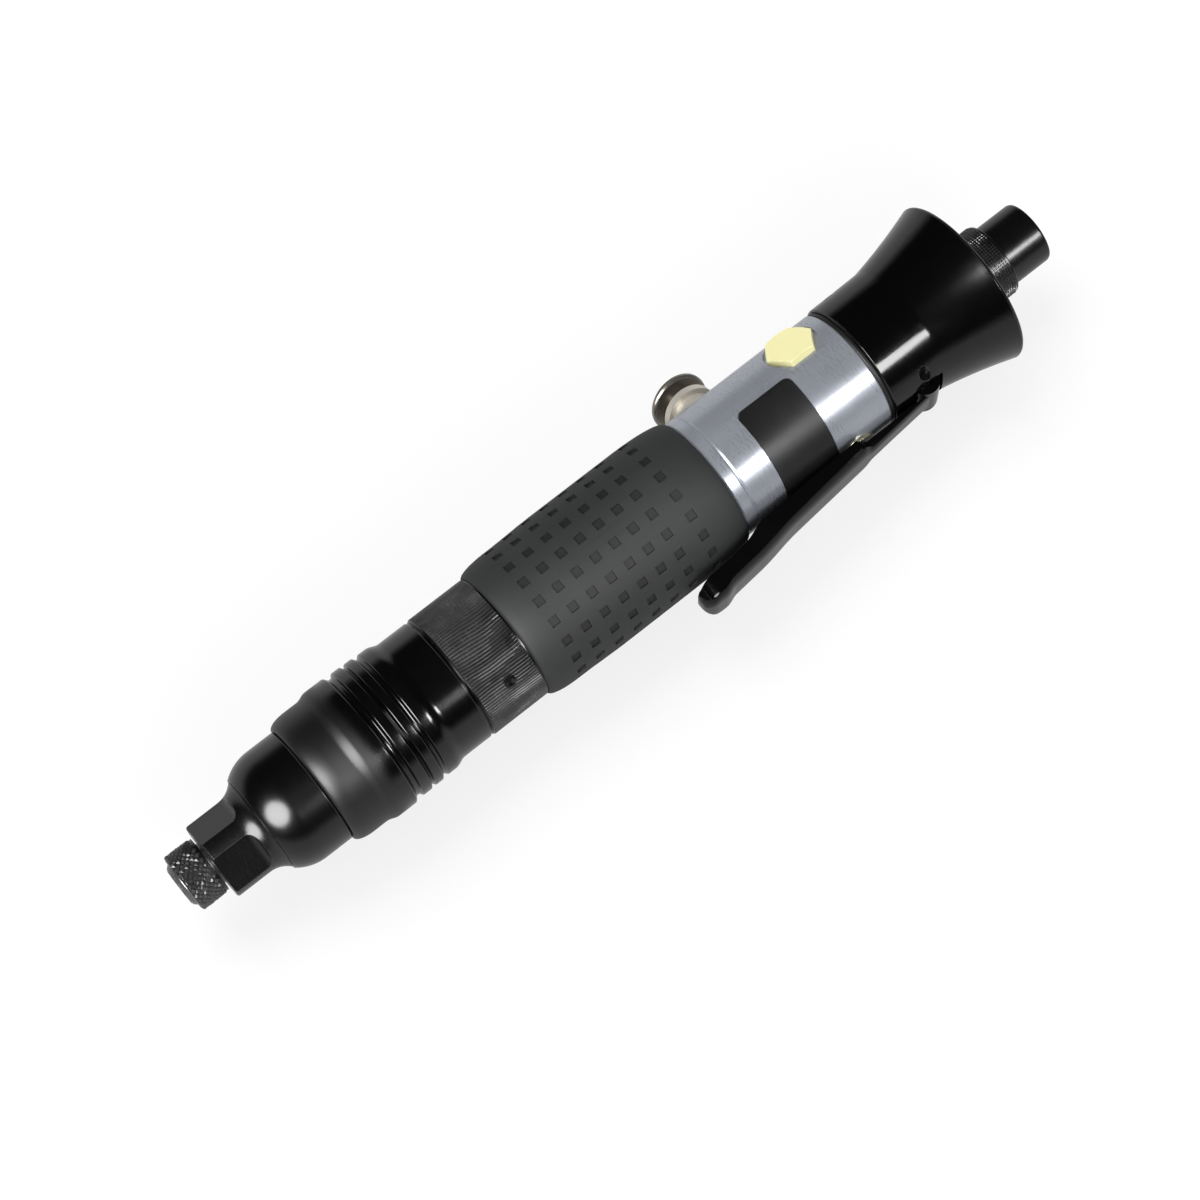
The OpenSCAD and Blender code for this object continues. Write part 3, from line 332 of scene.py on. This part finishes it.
def set_attribute(mesh, name, values):
    """Keeps one number for each face, which a finish reads."""
    held = mesh.attributes.new(name, "FLOAT", "FACE")
    held.data.foreach_set("value", values)


def finish_piece(piece, node, finish=None):
    """Gives a piece the body and slot of the node it stands for, and a finish."""
    paint(piece, finish or SLOT_OF[node])
    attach(piece, NODES[node]["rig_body"])
    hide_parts(node)


def soften(piece, width):
    """Rounds the sharp edges, and gives the new faces the piece's second material."""
    piece.data.materials.append(None)
    bevel = piece.modifiers.new("edge", "BEVEL")
    bevel.width = width * MM
    bevel.segments = 2
    bevel.limit_method = "ANGLE"
    bevel.angle_limit = math.radians(28)
    bevel.material = 1
    flattened(piece)


def dress(node, edge=0.12, sink=0.0, extra=(), finish=None, mark=None):
    """A merged copy of a solid with softened edges, which stands for the solid.

    extra holds the meshes of its knurl, and mark adds what else its finish reads."""
    piece = put(node + "_finished", merged(node, sink))
    soften(piece, edge)
    tops = math.inf
    if extra:
        join(piece, list(extra))
        tops = max(reach(v.co) for v in piece.data.vertices) - 0.035 * MM
    # The edge mark covers bevel faces and knurl tops; the finish paints them paler, partly as wear
    # and partly as painted highlight
    set_attribute(piece.data, "edge", [float(f.material_index == 1 or reach(f.center) > tops)
                                       for f in piece.data.polygons])
    if mark:
        mark(piece.data)
    smooth(piece.data, angle=32)
    flats = piece.modifiers.new("flats", "WEIGHTED_NORMAL")
    flats.weight = 90
    flats.keep_sharp = True
    flattened(piece)
    finish_piece(piece, node, finish)


for name, solid in NODES.items():
    paint(solid, SLOT_OF[name])


# ---- Knurls: one small shape set in rows round the axis ----

ROW_INPUTS = {
    "Shape": "Geometry", "Around": "Int", "Rows": "Int", "Radius": "Float", "Start": "Float",
    "Step": "Float", "Stagger": "Float", "Wander": "Float", "Tilt": "Float", "Uneven": "Float",
    "Seed": "Int", "Clear place": "Vector", "Clear radius": "Float", "Finish": "Material",
}


def rows_tree():
    """Repeats the host's shape round the axis and along it, and leaves one round place clear."""
    tree = bpy.data.node_groups.new("rows round the axis", "GeometryNodeTree")
    sockets = {name: tree.interface.new_socket(
        name, in_out="INPUT", socket_type="NodeSocket" + kind).identifier
        for name, kind in ROW_INPUTS.items()}
    tree.interface.new_socket("Result", in_out="OUTPUT", socket_type="NodeSocketGeometry")
    add = node_adder(tree)
    given = add("NodeGroupInput").outputs

    def sums(operation, *values):
        return math_node(add, operation, *values)

    def vectors(operation, *values):
        result = "Value" if operation in ("LENGTH", "DOT_PRODUCT", "DISTANCE") else "Vector"
        return add("ShaderNodeVectorMath", dict(enumerate(values)),
                   operation=operation).outputs[result]

    def scaled(vector, by):
        return add("ShaderNodeVectorMath", {0: vector, "Scale": by},
                   operation="SCALE").outputs[0]

    # A point for each copy, with its turn round the axis kept beside it
    index = add("GeometryNodeInputIndex").outputs[0]
    row = sums("FLOOR", sums("DIVIDE", sums("ADD", index, 0.5), given["Around"]))
    place = sums("SUBTRACT", index, sums("MULTIPLY", row, given["Around"]))
    shift = sums("MULTIPLY", sums("MODULO", row, 2.0), given["Stagger"])
    turns = sums("DIVIDE", sums("ADD", place, shift), given["Around"])
    angle = sums("MULTIPLY", turns, 2 * math.pi)
    spot = add("ShaderNodeCombineXYZ", {
        0: sums("ADD", given["Start"], sums("MULTIPLY", row, given["Step"])),
        1: sums("MULTIPLY", given["Radius"], sums("SINE", angle)),
        2: sums("MULTIPLY", given["Radius"], sums("COSINE", angle))})
    points = add("GeometryNodePoints", {
        "Count": sums("MULTIPLY", given["Around"], given["Rows"]), "Position": spot.outputs[0]})
    turned = add("GeometryNodeStoreNamedAttribute", {
        "Geometry": points.outputs[0], "Name": "turn", "Value": angle}, data_type="FLOAT")

    # The copies in the middle of the clear place go
    position = add("GeometryNodeInputPosition").outputs[0]
    apart = vectors("DISTANCE", position, given["Clear place"])
    middle = sums("MULTIPLY", given["Clear radius"], 0.6)
    left = add("GeometryNodeDeleteGeometry", {
        "Geometry": turned.outputs[0], "Selection": sums("LESS_THAN", apart, middle)},
        domain="POINT")

    # Each copy stands outwards, and leans and varies in height a little
    def chance(shift):
        seed = sums("ADD", given["Seed"], shift)
        return sums("SUBTRACT", add("FunctionNodeRandomValue", {"Seed": seed},
                                    data_type="FLOAT").outputs[1], 0.5)

    turn = add("GeometryNodeInputNamedAttribute", {"Name": "turn"},
               data_type="FLOAT").outputs["Attribute"]
    lean = add("ShaderNodeCombineXYZ", {
        0: sums("SUBTRACT", sums("MULTIPLY", given["Tilt"], chance(1)), turn),
        1: sums("MULTIPLY", given["Tilt"], chance(2))})
    lower = sums("MULTIPLY", given["Uneven"], sums("ADD", chance(3), 0.5))
    size = add("ShaderNodeCombineXYZ", {0: 1.0, 1: 1.0, 2: sums("SUBTRACT", 1.0, lower)})
    copies = add("GeometryNodeInstanceOnPoints", {
        "Points": left.outputs[0], "Instance": given["Shape"],
        "Rotation": lean.outputs[0], "Scale": size.outputs[0]})
    real = add("GeometryNodeRealizeInstances", {0: copies.outputs[0]})

    # Rows wander round the axis, as a knurling wheel leaves them
    wave = add("ShaderNodeTexNoise", {"Vector": position, "Scale": 70.0, "Detail": 1.0}).outputs[0]
    swing = sums("MULTIPLY", given["Wander"], sums("SUBTRACT", wave, 0.5))
    swung = add("ShaderNodeVectorRotate", {"Vector": position, "Angle": swing},
                rotation_type="X_AXIS")
    moved = add("GeometryNodeSetPosition", {
        "Geometry": real.outputs[0], "Position": swung.outputs[0]})

    # What still reaches into the clear place is pushed to its rim
    hole_axis = vectors("NORMALIZE", vectors("MULTIPLY", given["Clear place"], (0, 1, 1)))
    from_hole = vectors("SUBTRACT", position, given["Clear place"])
    along_hole = scaled(hole_axis, vectors("DOT_PRODUCT", from_hole, hole_axis))
    flat = vectors("SUBTRACT", from_hole, along_hole)
    inside = sums("SUBTRACT", given["Clear radius"], vectors("LENGTH", flat))
    aside = add("GeometryNodeSetPosition", {
        "Geometry": moved.outputs[0],
        "Offset": scaled(vectors("NORMALIZE", flat), sums("MAXIMUM", inside, 0.0))})
    coat = add("GeometryNodeSetMaterial", {
        "Geometry": aside.outputs[0], "Material": given["Finish"]})
    add("NodeGroupOutput", {0: coat.outputs[0]})
    return tree, sockets


ROWS, ROWS_SOCKET = rows_tree()


def small_shape(name, corners, faces):
    """A closed mesh with its faces turned outwards, from corners in millimetres."""
    mesh = bpy.data.meshes.new(name)
    mesh.from_pydata([tuple(c * MM for c in corner) for corner in corners], [], faces)
    bm = bmesh.new()
    bm.from_mesh(mesh)
    bmesh.ops.recalc_face_normals(bm, faces=bm.faces)
    bm.to_mesh(mesh)
    bm.free()
    return mesh


# Faces of a block with four corners below, 0 to 3, and four above them, 4 to 7
BLOCK = [(0, 3, 2, 1), (0, 1, 5, 4), (1, 2, 6, 5), (2, 3, 7, 6), (3, 0, 4, 7), (4, 5, 6, 7)]


def peg(length, width, height, top_length, top_width):
    """A small flat-topped stud, in millimetres."""
    corners = [(x * a / 2, y * b / 2, z)
               for a, b, z in ((length, width, -0.06), (top_length, top_width, height))
               for x, y in ((-1, -1), (1, -1), (1, 1), (-1, 1))]
    return small_shape("peg", corners, BLOCK)


def diamond(length, width, height, top=0.35):
    """A blunt pyramid whose corners point along and round the axis, in millimetres."""
    a, b = length / 2, width / 2
    base = [(-a, 0), (0, -b), (a, 0), (0, b)]
    corners = [(x, y, 0) for x, y in base] + [(x * top, y * top, height) for x, y in base]
    return small_shape("diamond", corners, BLOCK)


def ridge(length, width, height):
    """A short length of rounded ridge that lies along the axis, in millimetres."""
    section = [(-0.5, -0.1), (-0.36, 0.58), (-0.15, 0.94), (0.15, 0.94), (0.36, 0.58), (0.5, -0.1)]
    corners = [(x * length / 2, y * width, z * height) for x in (-1, 1) for y, z in section]
    n = len(section)
    faces = [(k, k + n, k + 1 + n, k + 1) for k in range(n - 1)] + [(n - 1, 2 * n - 1, n, 0)]
    faces += [tuple(range(n)), tuple(range(2 * n - 1, n - 1, -1))]
    return small_shape("ridge", corners, faces)


def knurl(shape, **sizes):
    """The mesh of a whole knurl made from one small shape."""
    host = put("knurl", shape)
    rows = host.modifiers.new("rows", "NODES")
    rows.node_group = ROWS
    given = {"Stagger": 0.0, "Wander": 0.0, "Tilt": 0.0, "Seed": 7,
             "Clear place": (0.0, 0.0, 0.0), "Clear radius": 0.0,
             "Finish": FINISH["black_oxide"]}
    given.update(sizes)
    for name, value in given.items():
        rows[ROWS_SOCKET[name]] = value
    flattened(host)
    mesh = host.data
    bpy.data.objects.remove(host)
    return mesh


def rows_between(front, back, bare, step):
    """Rows that fit between two stations, with bare ends; bare and step in millimetres."""
    return int((back - front - bare * MM) / (step * MM))


def knurl_sleeve():
    """Bold diamond knurl on the quick-change sleeve."""
    r, front, back = widest("chuck_sleeve")
    deep, around, step, overlap = 0.42, 29, 0.72, 0.98
    pitch = 2 * math.pi * (r / MM - deep) / around
    dress("chuck_sleeve", sink=deep, extra=[knurl(
        diamond(2 * step * overlap, pitch * overlap, deep), Around=around,
        Rows=rows_between(front, back, 0.7, step), Radius=r - deep * MM,
        Start=front + 0.75 * MM, Step=step * MM, Stagger=0.5, Uneven=0.3, Tilt=0.35)])


def disc(name, centre, facing, radius, sides=24):
    """A flat round face whose front looks along facing."""
    side = AXIS.cross(facing)
    ring = [centre + (AXIS * math.cos(t) - side * math.sin(t)) * radius
            for t in (2 * math.pi * k / sides for k in range(sides))]
    mesh = bpy.data.meshes.new(name)
    mesh.from_pydata(ring, [], [tuple(range(sides))])
    return mesh


def knurl_collar():
    """Fine straight knurl on the lock collar, clear of its dark spanner hole."""
    r, front, back = widest("lock_collar")
    deep, around, rows, bare = 0.30, 128, 18, 0.45
    step = (back - front - 2 * bare * MM) / rows
    hole_angle = math.radians(-48)
    out = Vector((0, math.sin(hole_angle), math.cos(hole_angle)))
    hole = AXIS * (front + 8.9 * MM) + out * r
    hole_floor = disc("hole_floor", hole - out * 1.3 * MM, out, 1.7 * MM)
    dress("lock_collar", sink=deep, extra=[hole_floor, knurl(
        ridge(step / MM, 0.80, deep), Around=around, Rows=rows, Radius=r - deep * MM,
        Start=front + bare * MM + step / 2, Step=step, Wander=0.13, Uneven=0.0,
        **{"Clear place": hole, "Clear radius": 1.6 * MM})])


def knurl_inlet_ring():
    """Small square knurl on the inlet ring."""
    r, front, back = widest("inlet_ring")
    deep, around, step, bare = 0.22, 84, 0.74, 0.7
    dress("inlet_ring", sink=deep, extra=[knurl(
        peg(0.62, 0.60, deep, 0.24, 0.22), Around=around,
        Rows=rows_between(front, back, bare, step), Radius=r - deep * MM,
        Start=front + bare * MM, Step=step * MM, Uneven=0.15, Tilt=0.15)])


# ---- Camera, floor and light ----

def stand(obj, x, y, z, place):
    """Sets an object at a place, with its own axes along x, y and z."""
    obj.matrix_world = Matrix.LocRotScale(place, Matrix((x, y, z)).transposed(), None)


def set_camera():
    """Looks down on the tool, which lies aslant with its tail up."""
    tilt, roll = math.radians(10), math.radians(37.775)
    distance, aim_station, aim_side = 816 * MM, 120.74 * MM, -7.13 * MM
    away = math.cos(tilt) * FACING - math.sin(tilt) * AXIS
    along = math.cos(tilt) * AXIS + math.sin(tilt) * FACING
    side = away.cross(along)
    right = math.cos(roll) * along - math.sin(roll) * side
    up = math.sin(roll) * along + math.cos(roll) * side
    cam = put("camera", bpy.data.cameras.new("camera"))
    stand(cam, right, up, away, aim_station * AXIS + aim_side * side + distance * away)
    cam.data.lens = 102
    cam.data.sensor_width = 36
    cam.data.clip_start = 0.01
    bpy.context.scene.camera = cam
    return right, up, away


def softbox(name, station, direction, distance, size, power, only, shape="RECTANGLE"):
    """A flat lamp that looks at a station on the axis, with its first side along the axis.

    only is "matt" or "shine", for the one kind of light that it gives."""
    lamp = put(name, bpy.data.lights.new(name, "AREA"))
    lamp.data.shape = shape
    lamp.data.size, lamp.data.size_y = size
    lamp.data.energy = power
    lamp.visible_glossy = only == "shine"
    lamp.visible_diffuse = only == "matt"
    back = direction.normalized()
    x = (AXIS - AXIS.dot(back) * back).normalized()
    stand(lamp, x, back.cross(x), back, AXIS * station + back * distance)


def at_angle(degrees, lean):
    """A direction round the tool's axis, counted from the camera's side, leaning to the tail."""
    a, b = math.radians(degrees), math.radians(lean)
    ring = math.cos(a) * FACING - math.sin(a) * AXIS.cross(FACING)
    return math.cos(b) * ring + math.sin(b) * AXIS


def set_lamps(right, up, away):
    """Two broad lamps for matt surfaces, and two cards that the gloss reflects."""
    middle, beyond_tail = 0.125, 0.61
    softbox("window", middle, away + 0.75 * up - 0.52 * right, 1.4, (0.8, 0.8), 11.5, "matt")
    softbox("fill", middle, away - 0.75 * up + 0.65 * right, 1.4, (0.9, 0.9), 8.5, "matt")
    softbox("nose_card", middle, at_angle(-4, -38), 1.3, (1.20, 1.00), 50.0, "shine", "ELLIPSE")
    softbox("long_card", beyond_tail, at_angle(-29, 0), 1.3, (0.60, 0.30), 13.0, "shine")


def make_world():
    """Even light for matt surfaces; gloss sees a dark room that brightens towards the table."""
    world = bpy.data.worlds.new("studio")
    bpy.context.scene.world = world
    add = emptied(world)

    def light(strength):
        return add("ShaderNodeBackground", {"Color": WHITE, "Strength": strength}).outputs[0]

    path = add("ShaderNodeLightPath").outputs
    place = add("ShaderNodeTexCoord").outputs["Generated"]
    height = add("ShaderNodeSeparateXYZ", {0: place}).outputs[2]
    reflected = light(mapped(add, height, 0.22, -0.04, 0.012, 0.50,
                             interpolation_type="SMOOTHSTEP"))
    lit = add("ShaderNodeMixShader", {0: path["Is Glossy Ray"], 1: light(0.46), 2: reflected})
    seen = add("ShaderNodeMixShader", {0: path["Is Camera Ray"], 1: lit.outputs[0], 2: light(1.0)})
    add("ShaderNodeOutputWorld", {0: seen.outputs[0]})


def make_floor():
    """A white table that takes soft shadows and lights the underside a little."""
    mat = bpy.data.materials.new("pale floor")
    add = emptied(mat)
    path = add("ShaderNodeLightPath").outputs
    lit = add("ShaderNodeBsdfDiffuse", {0: (0.9, 0.9, 0.9, 1)})
    glow = add("ShaderNodeEmission", {
        "Color": WHITE, "Strength": mapped(add, path["Is Camera Ray"], 0.0, 1.0, 0.55, 1.04)})
    seen = math_node(add, "MAXIMUM", path["Is Camera Ray"], path["Is Glossy Ray"])
    mix = add("ShaderNodeMixShader", {
        0: math_node(add, "MULTIPLY", seen, 0.74), 1: lit.outputs[0], 2: glow.outputs[0]})
    add("ShaderNodeOutputMaterial", {0: mix.outputs[0]})
    s, z = 2.5, CAD_BOX[0].z - 0.2 * MM
    mesh = bpy.data.meshes.new("floor")
    mesh.from_pydata([(-s, -s, z), (s, -s, z), (s, s, z), (-s, s, z)], [], [(0, 1, 2, 3)])
    mesh.materials.append(mat)
    put("floor", mesh)


set_lamps(*set_camera())
make_world()
make_floor()


# ---- Finished pieces ----

def mark_pockets(mesh):
    """Tells the finish which faces of the grip are the walls and floors of its pockets, where it
    paints shade: full on the walls, less on the floors.
    """
    front_rim, rear_rim = 6, 5
    least_wall, least_floor, deepest = 0.1, 0.3, 0.75
    steep = 0.6
    # How much painted shade the pocket walls and floors get
    wall_shade, floor_shade = 1.0, 0.6
    skin = {}
    for v in mesh.vertices:
        station = round(v.co.x / MM)
        skin[station] = max(skin.get(station, 0), reach(v.co))
    low, high = min(skin) + front_rim, max(skin) - rear_rim
    shade_values = []
    for face in mesh.polygons:
        c = face.center
        station = round(c.x / MM)
        below = (max(skin.get(station + k, 0) for k in (-1, 0, 1)) - reach(c)) / MM
        wall = abs(face.normal.dot(Vector((0, c.y, c.z)).normalized())) < steep
        least, tone = (least_wall, wall_shade) if wall else (least_floor, floor_shade)
        shade_values.append(tone if low < station < high and least < below < deepest else 0.0)
    set_attribute(mesh, "pocket", shade_values)


def press_springs():
    """A smooth, finished copy of each spring, with a mesh of its own.

    A row gives the node, the joint, the axis, the end that stays and the travel in mm."""
    along, across = (1, 0, 0), (0, 1, 0)
    low_end, high_end = 0, 1
    for node, joint, axis, stays, travel in (
            ("clutch_spring", "nut_travel", along, high_end, 6.5),
            ("chuck_spring", "chuck_sleeve_slide", along, low_end, 2.2),
            ("throttle_spring", "throttle_slide", across, high_end, 0.8)):
        piece = put(node + "_finished", merged(node))
        smooth(piece.data, angle=60)
        finish_piece(piece, node)
        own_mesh(piece)


# How each outer piece is dressed, where it isn't in the usual way
DRESSED = {
    "nose_housing": {}, "motor_housing": {}, "tail_cap": {}, "hex_plug": {}, "inlet_bush": {},
    "label_plate": {}, "cap_screw": {}, "cap_seal": {}, "exhaust_plate": {},
    "torque_ring": {"finish": "ring_black"},
    "clutch_housing": {"finish": "clutch_black"},
    "lever": {"finish": "black_paint"},
    "reverse_bush": {"finish": "dull_nickel"},
    "rubber_grip": {"edge": 0.07, "mark": mark_pockets},
    "lever_pin": {"finish": "black_oxide"},
    "reverse_button": {"finish": "smoked_nickel"},
    "throttle_bush": {"finish": "pale_brass"},
    "bit_holder": {"finish": "gunmetal"},
    "retaining_cap": {"finish": "gunmetal"},
}
for name, settings in DRESSED.items():
    dress(name, **settings)
press_springs()
knurl_sleeve()
knurl_collar()
knurl_inlet_ring()

bpy.context.scene.view_settings.view_transform = "Standard"
